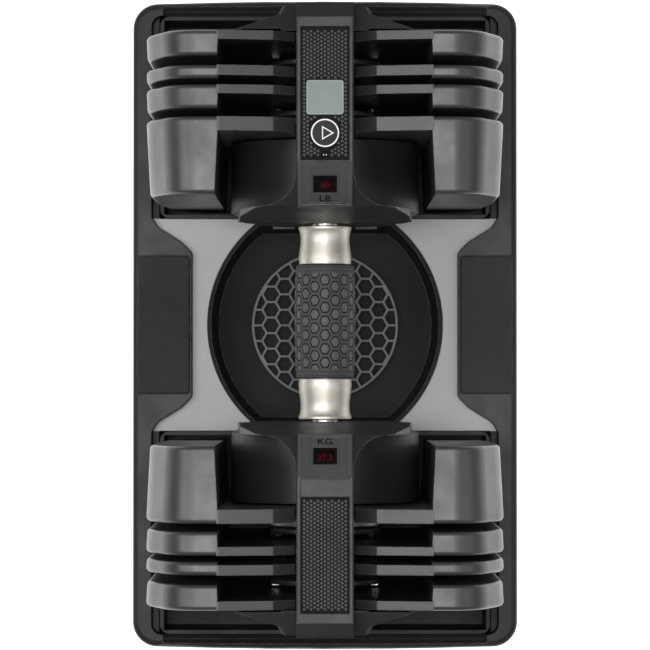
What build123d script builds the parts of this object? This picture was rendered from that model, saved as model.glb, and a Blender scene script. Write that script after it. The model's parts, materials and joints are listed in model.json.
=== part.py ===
"""Adjustable twist-handle dumbbell seated in its storage base.

The base stands on z = 0, the handle runs along Y and +Y is the head with the
display. All dimensions are millimetres. Every sub-part is written to its own
STEP file under parts/.
"""

from build123d import *
import math
import os

# Driving dimensions of the storage base
BASE_HALF_LENGTH = 208.5
BASE_CORNER_Y = 206.3
BASE_HALF_WIDTH = 123.5
BASE_CORNER_RADIUS = 16.0
FOOT_HEIGHT = 3.0
RIM_Z = 62.0
DECK_Z = 57.3
DECK_THICKNESS = 3.5
PAN_THICKNESS = 2.5
SHELL_WALL = 3.0
WELL_HALF_WIDTH = 106.3
WELL_INNER_Y = 68.4
WELL_OUTER_Y = 199.0
DECK_HALF_WIDTH = 111.5
WAIST_HALF_WIDTH = 85.7
PAD_HALF_LENGTH = 44.3
BOWL_HALF_WIDTH = 75.0
BOWL_ARC_RADIUS = 82.8
BOWL_HALF_LENGTH = 65.5
BOWL_FLOOR_Z = 32.5
BOWL_TAPER = 9.0
BOWL_WALL = 1.8
GRID_RADIUS = 47.5
GRID_PITCH = 10.1
GRID_RIB = 1.5

# Driving dimensions of the weight plates
PLATE_BOTTOM_Z = 14.0
PLATE_TOP_Z = 250.0
PLATE_HALF_WIDTH = 107.0
PLATE_FOOT_HALF_WIDTH = 101.3
PLATE_SLOT_HALF_WIDTH = 17.5
PLATE_CREASE_X = 30.5
PLATE_CREASE_Z = 244.5
PLATE_WING_X = 62.5
WING_DRAFT = 3.0
WEB_OVERLAP = 1.0
COVER_WALL = 2.2
# Each plate: wing start and end, then web start and end, from the middle outwards
PLATES = {
    "1": (155.0, 170.0, 164.6, 170.0),
    "2": (141.5, 149.5, 143.5, 149.5),
    "3": (124.0, 138.0, 132.8, 138.0),
    "4": (74.0, 119.3, 111.0, 119.3),
}

# Driving dimensions of the dumbbell
AXIS_Z = 135.0
CONSOLE_TOP_Z = 256.0
CONSOLE_HALF_WIDTH = 16.8
CONSOLE_END_Y = 185.4
CONSOLE_START_Y = 92.0
PANEL_HALF_WIDTH = 14.2
PANEL_END_Y = 171.2
HOUSING_RADIUS = 58.0
HOUSING_FACE_Y = 61.0
HOUSING_BACK_Y = 110.0
HOUSING_WALL = 2.5
HOOD_TOP_Z = 253.8
HOOD_SWEEP_RADIUS = 20.0
HOOD_SWEEP_Y = 88.0
# Height of each 45-degree face above its own y
HOOD_SLOPE_RISE = 161.8
WINDOW_FACE_RISE = 162.7
WINDOW_RIM_RISE = 164.2
WINDOW_Y = (75.0, 83.8)
BUTTON_Y = 109.0
GRIP_RADIUS = 18.9
GRIP_HALF_LENGTH = 35.0
GRIP_CENTRE_Y = 0.8
COLLAR_END_Y = 59.8
TUBE_RADIUS = 10.0
SHAFT_RADIUS = 8.0
SHAFT_HALF_LENGTH = 179.0
DRUM_RADIUS = 53.0
LOCK_RING_RADIUS = 40.0
LOCK_POSITIONS = 16
LOCK_TRAVEL = 5.0
SELECTOR_RADIUS = 34.0
SELECTOR_RIB_INNER = 30.0
SELECTOR_RIB_DEPTH = 2.0
# Each selector disc: plate, disc start and end along Y, side of the rib, rib arc in degrees
SELECTORS = [
    ("4", 122.5, 125.0, -1, 300.0),
    ("3", 127.0, 129.5, 1, 240.0),
    ("2", 139.0, 140.8, 1, 200.0),
    ("1", 158.5, 161.0, 1, 150.0),
]
RUNNING_CLEARANCE = 0.06

SIDES = {"lb": 1, "kg": -1}


def block(x0, x1, y0, y1, z0, z1):
    """An axis-aligned box between two corners."""
    centre = Pos((x0 + x1) / 2, (y0 + y1) / 2, (z0 + z1) / 2)
    return centre * Box(x1 - x0, y1 - y0, z1 - z0)


def disc(radius, y0, y1, x=0.0, z=AXIS_Z):
    """A round bar along Y."""
    return Pos(x, (y0 + y1) / 2, z) * Rot(90, 0, 0) * Cylinder(radius, y1 - y0)


def post(radius, z0, z1, x=0.0, y=0.0):
    """A round bar along Z."""
    return Pos(x, y, (z0 + z1) / 2) * Cylinder(radius, z1 - z0)


def upright(face, z0, z1):
    """Extrudes a face drawn in plan from z0 to z1."""
    return Pos(0, 0, z0) * extrude(face, z1 - z0)


def across(face, y0, y1):
    """Extrudes a face drawn in the X-Z plane from y0 to y1."""
    return extrude(Plane.XZ.offset(-y1) * face, y1 - y0)


def along_x(points, half_width):
    """Extrudes a polygon drawn in the Y-Z plane between x = -half_width and half_width."""
    return extrude(Plane.YZ.offset(-half_width) * polygon(points), 2 * half_width)


def turned(points):
    """Revolves (radius, y) points about the handle axis."""
    return Pos(0, 0, AXIS_Z) * revolve(polygon(points), Axis.Y)


def mirrored(points):
    """Closes a right-hand outline with its own mirror image in x."""
    return points + [(-x, z) for x, z in reversed(points)]


def polygon(points):
    return make_face(Polyline(*points, close=True))


def sided(shape, side):
    """Puts a shape drawn for the +Y head on the head it belongs to."""
    if side > 0:
        return shape
    return shape.mirror(Plane.XZ)


def group(shapes):
    return Compound(children=list(shapes))


# Storage base


def base_outline():
    corner = (BASE_HALF_WIDTH, BASE_CORNER_Y)
    lines = Line((corner[0], -corner[1]), corner)
    lines += ThreePointArc(corner, (0, BASE_HALF_LENGTH), (-corner[0], corner[1]))
    lines += Line((-corner[0], corner[1]), (-corner[0], -corner[1]))
    lines += ThreePointArc((-corner[0], -corner[1]), (0, -BASE_HALF_LENGTH), (corner[0], -corner[1]))
    face = make_face(lines)
    return fillet(face.vertices(), BASE_CORNER_RADIUS)


def deck_opening():
    """Plan of the opening that holds the deck and both wells."""
    quarter = [
        (WAIST_HALF_WIDTH, 46.3),
        (92.5, 53.2),
        (107.5, 62.6),
        (DECK_HALF_WIDTH, 69.0),
        (DECK_HALF_WIDTH, WELL_OUTER_Y),
    ]
    right = [(x, -y) for x, y in reversed(quarter)] + quarter
    face = polygon(right + [(-x, y) for x, y in reversed(right)])
    bends = [v for v in face.vertices() if abs(v.Y) < 100]
    face = fillet(bends, 5.0)
    corners = [v for v in face.vertices() if abs(v.Y) > 190]
    return fillet(corners, 7.0)


def well_space(margin, z0, z1):
    """Both wells as plain blocks, grown by margin."""
    half = WELL_HALF_WIDTH + margin
    return [
        block(-half, half, *sorted((s * (WELL_INNER_Y - margin), s * (WELL_OUTER_Y + 5))), z0, z1)
        for s in SIDES.values()
    ]


def base_shell():
    outline = base_outline()
    opening = deck_opening()
    body = upright(outline, FOOT_HEIGHT, RIM_Z)
    body = fillet(body.edges().group_by(Axis.Z)[-1], 4.0)
    rail = upright(offset(opening, 3.0), FOOT_HEIGHT + PAN_THICKNESS, RIM_Z - 3.5)
    cavity = upright(offset(outline, -SHELL_WALL), FOOT_HEIGHT, RIM_Z - 3.5) - rail
    cavity += upright(offset(outline, -SHELL_WALL), FOOT_HEIGHT, FOOT_HEIGHT + PAN_THICKNESS)
    body -= cavity
    body -= upright(opening, 0, RIM_Z + 1)
    ledge = upright(opening, 50.0, DECK_Z - DECK_THICKNESS)
    ledge -= upright(offset(opening, -5.0), 49, DECK_Z)
    for space in well_space(0.1, 49, DECK_Z):
        ledge -= space
    body += ledge
    for s in SIDES.values():
        wedge = along_x([(s * 198.0, 54.0), (s * 204.8, RIM_Z + 0.1), (s * 198.0, RIM_Z + 0.1)], 104.0)
        body -= wedge
        body -= block(*sorted((s * 86.9, s * 120.3)), -PAD_HALF_LENGTH, PAD_HALF_LENGTH, RIM_Z - 1.5, RIM_Z + 1)
        for y in (-32.0, 32.0):
            boss = post(5.0, FOOT_HEIGHT + PAN_THICKNESS, RIM_Z - 3.0, s * 104.0, y)
            body += boss
            body -= post(2.0, 0.0, 16.0, s * 104.0, y)
    return body


def bowl_face(grow=0.0):
    centre_x = BOWL_ARC_RADIUS - BOWL_HALF_WIDTH
    left = Pos(centre_x, 0) * Circle(BOWL_ARC_RADIUS + grow)
    right = Pos(-centre_x, 0) * Circle(BOWL_ARC_RADIUS + grow)
    return left & right & Rectangle(200, 2 * (BOWL_HALF_LENGTH + grow))


def base_deck():
    deck = upright(offset(deck_opening(), -0.2), DECK_Z - DECK_THICKNESS, DECK_Z)
    for space in well_space(0.0, 40, 70):
        deck -= space
    deck -= upright(bowl_face(0.2), 40, 70)
    return chamfer(deck.edges().group_by(Axis.Z)[-1], 0.7)


def base_pan():
    pan = upright(offset(base_outline(), -SHELL_WALL - 0.1), FOOT_HEIGHT, FOOT_HEIGHT + PAN_THICKNESS)
    for x, y in pan_screw_places():
        pan -= post(4.1, 0, FOOT_HEIGHT + 1.6, x, y)
        pan -= post(2.0, 0, 10, x, y)
    return pan


def pan_screw_places():
    outer = [(sx * 104.0, sy * 32.0) for sx in (1, -1) for sy in (1, -1)]
    inner = [(sx * 60.0, sy * 134.0) for sx in (1, -1) for sy in (1, -1)]
    return outer + inner


def base_screws():
    screws = []
    for x, y in pan_screw_places():
        tip = 16.0 if abs(y) < 50 else 8.0
        screw = post(4.0, FOOT_HEIGHT + 0.1, FOOT_HEIGHT + 1.6, x, y) + post(2.0, FOOT_HEIGHT + 1.6, tip, x, y)
        screw -= Pos(x, y, FOOT_HEIGHT + 0.1) * Box(5.0, 1.0, 1.2)
        screw -= Pos(x, y, FOOT_HEIGHT + 0.1) * Box(1.0, 5.0, 1.2)
        screws.append(screw)
    return group(screws)


def base_feet():
    places = [(sx * 100.0, y) for sx in (1, -1) for y in (-180.0, 0.0, 180.0)]
    feet = []
    for x, y in places:
        foot = post(11.0, 0, FOOT_HEIGHT, x, y)
        feet.append(chamfer(foot.edges().group_by(Axis.Z)[0], 0.8))
    return group(feet)


def well_tray():
    """Tub of the +Y well, with saddles that hold each plate upright."""
    floor_z = FOOT_HEIGHT + PAN_THICKNESS
    half = WELL_HALF_WIDTH - 0.2
    y0 = WELL_INNER_Y + 0.2
    y1 = WELL_OUTER_Y - 0.2
    plan = Pos(0, (y0 + y1) / 2) * RectangleRounded(2 * half, y1 - y0, 6.0)
    tray = upright(plan, floor_z, DECK_Z - 0.3)
    tray -= block(-half + 2.5, half - 2.5, y0 + 2.5, y1 - 2.5, floor_z + 3.0, DECK_Z + 1)
    for x in (-84.0, -40.0, 40.0, 84.0):
        tray += block(x - 3, x + 3, 76.0, 170.0, floor_z + 2, PLATE_BOTTOM_Z - 0.3)
    for y, thickness in ((121.65, 2.6), (139.75, 2.0), (152.25, 3.0), (173.0, 3.0)):
        for s in (1, -1):
            x0, x1 = sorted((s * 66.0, s * (half - 2.0)))
            tray += block(x0, x1, y - thickness / 2, y + thickness / 2, floor_z + 2, 44.0)
    for sx in (1, -1):
        tray -= post(2.0, 0, 8.0, sx * 60.0, 134.0)
    return tray


def knuckle_bowl():
    """Steep-sided recess under the handle, with a thin lip on the deck."""
    depth = DECK_Z - BOWL_FLOOR_Z
    top = Pos(0, 0, DECK_Z)
    outer = top * extrude(bowl_face(), -(depth + BOWL_WALL), taper=BOWL_TAPER)
    inner = top * extrude(bowl_face(-BOWL_WALL), -depth, taper=BOWL_TAPER)
    lip = upright(bowl_face(0.9) - bowl_face(-BOWL_WALL), DECK_Z, DECK_Z + 0.8)
    return outer - inner + lip


def honeycomb_grid():
    """Round grid of six-sided cells on the bowl floor."""
    cells = []
    column = GRID_PITCH * math.sqrt(3) / 2
    reach = GRID_RADIUS - 1.6
    apothem = (GRID_PITCH - GRID_RIB) / 2
    for i in range(-6, 7):
        for j in range(-6, 7):
            x = i * column
            y = (j + 0.5 * (i % 2)) * GRID_PITCH
            if math.hypot(x, y) < reach + apothem:
                cells.append(Pos(x, y) * RegularPolygon(apothem, 6, major_radius=False))
    field = Sketch() + cells
    field = field & Circle(reach)
    ring = Circle(GRID_RADIUS) - field
    return upright(ring, BOWL_FLOOR_Z, BOWL_FLOOR_Z + 3.5)


def side_pad():
    plan = Pos(103.6, 0) * RectangleRounded(33.2, 2 * PAD_HALF_LENGTH - 0.2, 3.0)
    pad = upright(plan, RIM_Z - 1.5, RIM_Z + 2.0)
    return fillet(pad.edges().group_by(Axis.Z)[-1], 1.0)


def release_posts():
    """Posts that push the lock sliders up while the dumbbell is seated."""
    floor_z = FOOT_HEIGHT + PAN_THICKNESS + 3.0
    return group(
        post(6.0, floor_z, 30.0, 0, s * 95.8) + post(3.5, 30.0, 71.7, 0, s * 95.8) for s in SIDES.values()
    )


# Weight plates


def plate_outline():
    """Front view of a plate: rounded shoulders, and a top that dips to a slot in the middle."""
    right = [
        (0, PLATE_BOTTOM_Z),
        (78.0, PLATE_BOTTOM_Z),
        (PLATE_FOOT_HALF_WIDTH, 40.0),
        (PLATE_HALF_WIDTH, 122.0),
        (PLATE_HALF_WIDTH, 212.0),
        (90.0, PLATE_TOP_Z),
        (PLATE_WING_X, PLATE_TOP_Z),
        (PLATE_CREASE_X, PLATE_CREASE_Z),
        (PLATE_SLOT_HALF_WIDTH, 234.0),
        (PLATE_SLOT_HALF_WIDTH, 200.0),
    ]
    face = polygon(right + [(-x, z) for x, z in reversed(right[1:])])
    lower = [v for v in face.vertices() if v.Y < 60 and abs(v.X) > 70]
    face = fillet(lower, 20.0)
    shoulder = [v for v in face.vertices() if v.Y > PLATE_TOP_Z - 1 and abs(v.X) > 70]
    face = fillet(shoulder, 22.0)
    flank = [v for v in face.vertices() if abs(v.Y - 212.0) < 0.1 and abs(v.X) > 70]
    face = fillet(flank, 50.0)
    slot = Pos(0, AXIS_Z + 50) * Rectangle(2 * PLATE_SLOT_HALF_WIDTH, 100)
    return face - slot - Pos(0, AXIS_Z) * Circle(PLATE_SLOT_HALF_WIDTH)


def plate_solid(outline, wing, web, wing_x, round_over=0.0):
    """A thin web across the middle and a thicker wing, drafted towards the handle, on each side."""
    centre = Rectangle(2 * wing_x, 600)
    start = Plane.XZ.offset(-wing[1])
    wings = extrude(start * (outline - centre), wing[1] - wing[0], taper=WING_DRAFT)
    if round_over:
        rims = [
            e
            for e in wings.edges()
            if min(abs(e.center().Y - y) for y in wing) < 0.01 and abs(e.center().X) > wing_x + 2.5
        ]
        wings = fillet(rims, round_over)
    joined = Rectangle(2 * (wing_x + WEB_OVERLAP), 600)
    return across(outline & joined, *web) + wings


def plate_pair(number):
    """The moulded cover and the steel core inside it, for the +Y head."""
    wing0, wing1, web0, web1 = PLATES[number]
    outline = plate_outline()
    edge = min(2.4, (wing1 - wing0) / 2 - 1.0)
    whole = plate_solid(outline, (wing0, wing1), (web0, web1), PLATE_WING_X, edge)
    wall = COVER_WALL if number in "14" else 1.6
    core = plate_solid(
        offset(outline, -3.0),
        (wing0 + wall + 0.6, wing1 - wall),
        (web0 + wall, web1 - wall),
        PLATE_WING_X + 3.0,
    )
    return whole + plate_lug(number) - core, core


def plate_lug(number):
    """Block on the web that rests inside the selector rib."""
    for plate, disc0, disc1, rib_side, _ in SELECTORS:
        if plate != number:
            continue
        web = PLATES[number][2:]
        if rib_side > 0:
            y0, y1 = disc1 + 0.6, web[0] + 0.5
        else:
            y0, y1 = web[1] - 0.5, disc0 - 0.6
        return block(-7.0, 7.0, y0, y1, AXIS_Z - 28.5, AXIS_Z - 22.5)


# Handle and everything that turns with it


def handle_shaft():
    shaft = disc(SHAFT_RADIUS, -SHAFT_HALF_LENGTH, SHAFT_HALF_LENGTH)
    shaft += disc(TUBE_RADIUS, -COLLAR_END_Y, COLLAR_END_Y)
    return shaft


def grip_sleeve():
    """Rubber sleeve, slightly barrelled, with a plain band at each end."""
    half = GRIP_HALF_LENGTH
    body = Line((TUBE_RADIUS, -half), (GRIP_RADIUS - 1.6, -half))
    body += Line((GRIP_RADIUS - 1.6, -half), (GRIP_RADIUS - 0.9, -half + 1.0))
    body += ThreePointArc((GRIP_RADIUS - 0.9, -half + 1.0), (GRIP_RADIUS, 0), (GRIP_RADIUS - 0.9, half - 1.0))
    body += Line((GRIP_RADIUS - 0.9, half - 1.0), (GRIP_RADIUS - 1.6, half))
    body += Line((GRIP_RADIUS - 1.6, half), (TUBE_RADIUS, half))
    body += Line((TUBE_RADIUS, half), (TUBE_RADIUS, -half))
    return Pos(0, GRIP_CENTRE_Y, AXIS_Z) * revolve(make_face(body), Axis.Y)


def collar(side):
    """Metal collar that narrows away from the grip and flares into a flange."""
    y0 = GRIP_HALF_LENGTH + side * GRIP_CENTRE_Y + 0.1
    body = Line((TUBE_RADIUS, y0), (15.7, y0))
    body += Line((15.7, y0), (16.1, y0 + 0.5))
    body += Spline((16.1, y0 + 0.5), (15.5, 47.0), (15.2, 53.0), (16.4, 58.0))
    body += Line((16.4, 58.0), (16.4, 59.3))
    body += Line((16.4, 59.3), (15.9, COLLAR_END_Y))
    body += Line((15.9, COLLAR_END_Y), (TUBE_RADIUS, COLLAR_END_Y))
    body += Line((TUBE_RADIUS, COLLAR_END_Y), (TUBE_RADIUS, y0))
    return Pos(0, 0, AXIS_Z) * revolve(make_face(body), Axis.Y)


def number_drum():
    """Drum that carries the weight numbers, with the notched lock ring behind it."""
    drum = disc(DRUM_RADIUS, 73.0, 86.5) - disc(DRUM_RADIUS - 2.5, 72.0, 84.0)
    drum += disc(13.0, 73.0, 86.0)
    drum += disc(LOCK_RING_RADIUS, 86.4, 91.5)
    drum -= disc(SHAFT_RADIUS, 70.0, 95.0)
    for i in range(LOCK_POSITIONS):
        notch = block(-2.3, 2.3, 86.5, 92.0, LOCK_RING_RADIUS - 5.5, LOCK_RING_RADIUS + 2)
        drum -= Pos(0, 0, AXIS_Z) * Rot(0, i * 360 / LOCK_POSITIONS, 0) * notch
    return drum


def selector_disc(disc0, disc1, rib_side, arc):
    """Disc with a part-ring rib that picks up its plate over some of the turn."""
    if rib_side > 0:
        rib0, rib1 = disc1, disc1 + SELECTOR_RIB_DEPTH
    else:
        rib0, rib1 = disc0 - SELECTOR_RIB_DEPTH, disc0
    rib = disc(SELECTOR_RADIUS, rib0, rib1) - disc(SELECTOR_RIB_INNER, rib0 - 1, rib1 + 1)
    gap = 360.0 - arc
    steps = max(1, round(gap / 30.0))
    cut = block(-9.0, 9.0, rib0 - 1, rib1 + 1, 25.0, 40.0)
    for i in range(steps):
        angle = (i + 0.5 - steps / 2) * gap / steps
        rib -= Pos(0, 0, AXIS_Z) * Rot(0, angle, 0) * cut
    hub = disc(12.0, min(disc0, rib0), max(disc1, rib1))
    return disc(SELECTOR_RADIUS, disc0, disc1) + rib + hub - disc(SHAFT_RADIUS, disc0 - 5, disc1 + 5)


def selector_discs(side):
    return group(sided(selector_disc(d0, d1, rib, arc), side) for _, d0, d1, rib, arc in SELECTORS)


def shaft_nuts():
    nuts = []
    for s in SIDES.values():
        hexagon = Pos(0, AXIS_Z) * RegularPolygon(12.0, 6)
        nut = across(hexagon, 175.2, 180.5) - disc(SHAFT_RADIUS, 170, SHAFT_HALF_LENGTH)
        nuts.append(sided(nut, s))
    return group(nuts)


# Dumbbell housings


def hood():
    """Fascia above the drum cover, flaring from the narrow console to the wide round face."""
    half = CONSOLE_HALF_WIDTH
    right = [(47.0, 140.0), (53.0, 165.0), (51.0, 196.0), (42.0, 222.0), (30.0, 238.0), (half, 247.0)]
    right.append((half, HOOD_TOP_Z))
    body = across(polygon(mirrored(right)), HOUSING_FACE_Y + 0.3, CONSOLE_START_Y - 0.1)
    body += block(-half, half, CONSOLE_START_Y - 0.2, 103.6, 150.0, CONSOLE_TOP_Z - 6.2)
    # Front: steep below the window, 45 degrees at the window
    body -= along_x([(50, 150), (61.3, 182), (68, 229.8), (92, 253.8), (92, 270), (50, 270)], 70.0)
    # Sides: concave sweep from the console to the fascia, seen from above
    reach = HOOD_SWEEP_RADIUS
    for s in (1, -1):
        x = s * (half + 0.2 + reach)
        body -= post(reach, 140.0, 270.0, x, HOOD_SWEEP_Y)
        body -= block(*sorted((s * (half + 0.2), s * 80.0)), HOOD_SWEEP_Y, 120.0, 140.0, 270.0)
        body -= block(*sorted((x, s * 80.0)), HOOD_SWEEP_Y - reach, 120.0, 140.0, 270.0)
    return body


def front_housing():
    """Round drum cover with the hood that carries the weight window."""
    wall = HOUSING_WALL
    face_y = HOUSING_FACE_Y
    back = HOUSING_BACK_Y
    radius = HOUSING_RADIUS
    half = CONSOLE_HALF_WIDTH
    body = turned([(0, face_y), (43.0, face_y), (radius, 68.0), (radius, back), (0, back)])
    body += hood()
    bore = radius - wall
    body -= turned([(0, face_y + wall), (41.5, face_y + wall), (bore, 70.0), (bore, back + 1), (0, back + 1)])
    neck = block(-half + 2.6, half - 2.6, 70.5, 104.0, 150.0, CONSOLE_TOP_Z - 9.0)
    neck -= along_x([(60.0, 217.5), (96.0, 253.5), (96.0, 270.0), (60.0, 270.0)], 60.0)
    body -= neck
    body -= disc(16.0, face_y - 1, face_y + wall + 1)
    body -= block(-6.0, 6.0, 93.5, 98.0, 70.0, 90.0)
    body -= block(-6.6, 6.6, 74.6, 84.2, 225.0, 260.0)
    body -= block(-half - 0.2, half + 0.2, 103.6, back + 1, 165.0, 260.0)
    body -= post(10.0, 240.0, 260.0, 0, BUTTON_Y)
    return body


def chassis():
    """Bulkheads and the console spine that passes through the slots of the plates."""
    wall = HOUSING_WALL
    spine_z = AXIS_Z + SELECTOR_RADIUS + 3
    half = CONSOLE_HALF_WIDTH
    frame = disc(HOUSING_RADIUS - wall - 0.2, 100.0, 104.0)
    frame += block(-half + 2.8, half - 2.8, 100.0, 104.0, 180.0, 246.8)
    frame += block(-half + 2.8, half - 2.8, 92.5, 100.5, 197.0, 199.5)
    channel = block(-half, half, 103.9, 177.0, spine_z, 250.1)
    channel -= block(-half + 2.5, half - 2.5, 103.8, 170.9, spine_z - 1, 250.0)
    frame += channel
    frame += block(-half, half, CONSOLE_START_Y, 177.0, 250.0, CONSOLE_TOP_Z)
    frame += block(-26.0, 26.0, 171.0, 174.0, 95.0, 235.0)
    for s in (1, -1):
        frame += block(*sorted((s * 11.5, s * (half - 2.4))), 104.0, 170.9, 238.0, 240.0)
    # Recess for the panel, and the openings below it
    frame -= block(-14.4, 14.4, 93.0, 171.4, CONSOLE_TOP_Z - 1.6, CONSOLE_TOP_Z + 1)
    for y0, y1 in ((99.0, 105.0), (169.0, 175.0)):
        frame -= disc(12.0, y0, y1)
    for x, z in cap_screw_places():
        frame -= disc(2.0, 170.0, 175.0, x, z)
    top_edges = [e for e in frame.edges() if abs(e.center().Z - CONSOLE_TOP_Z) < 0.01]
    long_edges = [e for e in top_edges if abs(abs(e.center().X) - half) < 0.01]
    return chamfer(long_edges, 0.9)


def display_openings():
    cuts = block(-11.0, 11.0, 119.6, 140.0, 245.0, 260.0)
    cuts += post(8.7, 245.0, 260.0, 0, BUTTON_Y)
    cuts += post(2.3, 245.0, 260.0, 0, 96.2)
    return cuts


def cap_screw_places():
    return [(x, z) for x in (-18.0, 18.0) for z in (111.0, 160.0)]


def cap_loft(inset, y0, y1):
    """Blunt end of the head, wide beside the plate and narrow at the end face."""

    def section(half, low, high, y):
        right = [(half * 0.62, low), (half, low + 34), (half, high - 16), (half * 0.9, high)]
        return Plane.XZ.offset(-y) * polygon(mirrored(right))

    base = section(54.0 - inset, 72.0 + inset, 246.0 - inset, y0)
    rim = section(54.0 - inset, 72.0 + inset, 246.0 - inset, 172.2)
    shoulder = section(28.5 - inset, 90.0 + inset, 245.0 - inset, 180.0 - inset / 2)
    end = section(26.0 - inset, 93.0 + inset, 244.0 - inset, y1)
    return loft([base, rim]) + loft([rim, shoulder]) + loft([shoulder, end])


def end_cap():
    half = CONSOLE_HALF_WIDTH
    cap = cap_loft(0, 171.0, CONSOLE_END_Y - 0.6)
    cap -= cap_loft(HOUSING_WALL, 170.9, CONSOLE_END_Y - 3.0)
    ridge = block(-half, half, 177.1, CONSOLE_END_Y, 236.0, CONSOLE_TOP_Z)
    top_edges = [e for e in ridge.edges() if e.center().Z > CONSOLE_TOP_Z - 0.1 and e.center().Y > 178]
    cap += fillet(top_edges, 1.6)
    cap -= block(-half - 0.2, half + 0.2, 169, 177.05, 228, 260)
    for x, z in cap_screw_places():
        cap += disc(4.6, 174.1, CONSOLE_END_Y - 2.0, x, z)
        cap -= disc(4.2, CONSOLE_END_Y - 3.4, CONSOLE_END_Y + 5, x, z)
        cap -= disc(2.0, 172.0, CONSOLE_END_Y, x, z)
    return cap


def housing_screws():
    screws = []
    for s in SIDES.values():
        for x, z in cap_screw_places():
            top = CONSOLE_END_Y - 1.6
            screw = disc(4.0, CONSOLE_END_Y - 3.4, top, x, z) + disc(2.0, 171.5, CONSOLE_END_Y - 3.3, x, z)
            screw -= block(x - 2.4, x + 2.4, top - 1.0, top + 1, z - 0.5, z + 0.5)
            screw -= block(x - 0.5, x + 0.5, top - 1.0, top + 1, z - 2.4, z + 2.4)
            screws.append(sided(screw, s))
    return group(screws)


def shaft_bushes():
    bushes = []
    bore = SHAFT_RADIUS + RUNNING_CLEARANCE
    for s in SIDES.values():
        front = disc(16.0, HOUSING_FACE_Y + 0.2, HOUSING_FACE_Y + 2.5)
        front += disc(14.0, HOUSING_FACE_Y + 2.4, 71.0)
        middle = disc(12.0, 99.0, 105.0)
        end = disc(12.0, 170.6, 174.6)
        for bush in (front, middle, end):
            bushes.append(sided(bush - disc(bore, 55.0, 180.0), s))
    return group(bushes)


def sloping(y0, y1, low, high, half_width):
    """Slab rising at 45 degrees: above each y it spans z = y + low to z = y + high."""
    corners = [(y0, y0 + low), (y1, y1 + low), (y1, y1 + high), (y0, y0 + high)]
    return along_x(corners, half_width)


def window_bezel():
    """Sloping insert with a rim, a sunk border and a deeper face round the weight window."""
    insert = sloping(67.0, CONSOLE_START_Y - 0.3, HOOD_SLOPE_RISE + 0.2, WINDOW_RIM_RISE, 16.0)
    insert -= sloping(68.4, CONSOLE_START_Y, WINDOW_RIM_RISE - 0.8, WINDOW_RIM_RISE + 6.0, 14.2)
    insert -= sloping(69.4, 88.4, WINDOW_FACE_RISE, WINDOW_RIM_RISE + 6.0, 9.4)
    return insert - block(-6.2, 6.2, *WINDOW_Y, 225.0, 262.0)


def window_lens():
    y0, y1 = WINDOW_Y
    return sloping(y0 + 0.1, y1 - 0.1, WINDOW_FACE_RISE - 1.8, WINDOW_FACE_RISE - 0.4, 6.1)


def display_panel():
    panel = block(-PANEL_HALF_WIDTH, PANEL_HALF_WIDTH, 93.2, PANEL_END_Y, CONSOLE_TOP_Z - 1.6, CONSOLE_TOP_Z - 0.5)
    panel = fillet(panel.edges().filter_by(Axis.Z), 1.2)
    return panel - display_openings()


def blank_panel():
    panel = block(-PANEL_HALF_WIDTH, PANEL_HALF_WIDTH, 103.2, PANEL_END_Y, CONSOLE_TOP_Z - 1.6, CONSOLE_TOP_Z - 0.5)
    return fillet(panel.edges().filter_by(Axis.Z), 1.2)


def lcd_lens():
    lens = block(-10.9, 10.9, 119.7, 139.9, CONSOLE_TOP_Z - 2.4, CONSOLE_TOP_Z - 0.3)
    return fillet(lens.edges().filter_by(Axis.Z), 2.0)


def lcd_module():
    return block(-10.4, 10.4, 120.2, 139.4, 241.6, CONSOLE_TOP_Z - 2.4)


def circuit_board():
    return block(-14.0, 14.0, 105.0, 165.0, 240.0, 241.6)


def tact_switch():
    return block(-3.0, 3.0, 106.0, 112.0, 241.6, 245.0) + post(1.7, 245.0, 246.6, 0, BUTTON_Y)


def indicator_lens():
    lens = post(2.2, CONSOLE_TOP_Z - 5.0, CONSOLE_TOP_Z - 0.3, 0, 96.2)
    return chamfer(lens.edges().group_by(Axis.Z)[-1], 0.4)


def start_button():
    """Round key with a retaining flange below the console skin."""
    key = post(8.4, 248.4, CONSOLE_TOP_Z - 0.4, 0, BUTTON_Y)
    key = fillet(key.edges().group_by(Axis.Z)[-1], 0.8)
    key += post(9.6, 248.4, 249.6, 0, BUTTON_Y)
    return key + post(2.0, 247.7, 248.5, 0, BUTTON_Y)


def lock_slider():
    """Yoke round the shaft whose tooth drops into the lock ring when lifted."""
    yoke = block(-13.0, 13.0, 94.0, 97.5, AXIS_Z - 20, AXIS_Z + 48)
    yoke += block(-5.0, 5.0, 94.0, 97.5, 72.0, AXIS_Z - 19)
    yoke += block(-1.8, 1.8, 87.4, 95.0, AXIS_Z + LOCK_RING_RADIUS + 1, AXIS_Z + 48)
    yoke -= block(-9.5, 9.5, 93.0, 98.5, AXIS_Z - 10, AXIS_Z + 10 + LOCK_TRAVEL)
    return yoke


def lock_spring():
    """Bowed leaf between the slider and its seat on the chassis."""
    low = AXIS_Z + 48 + 0.2
    high = 197.0 - 0.2
    outer = ThreePointArc((-11.0, high), (0, low), (11.0, high))
    inner = ThreePointArc((10.2, high), (0, low + 0.7), (-10.2, high))
    edges = outer + Line((11.0, high), (10.2, high)) + inner + Line((-10.2, high), (-11.0, high))
    return across(make_face(edges), 94.2, 97.3)


def write(name, shape):
    shape.label = name
    export_step(shape, os.path.join("parts", name + ".step"))


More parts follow.
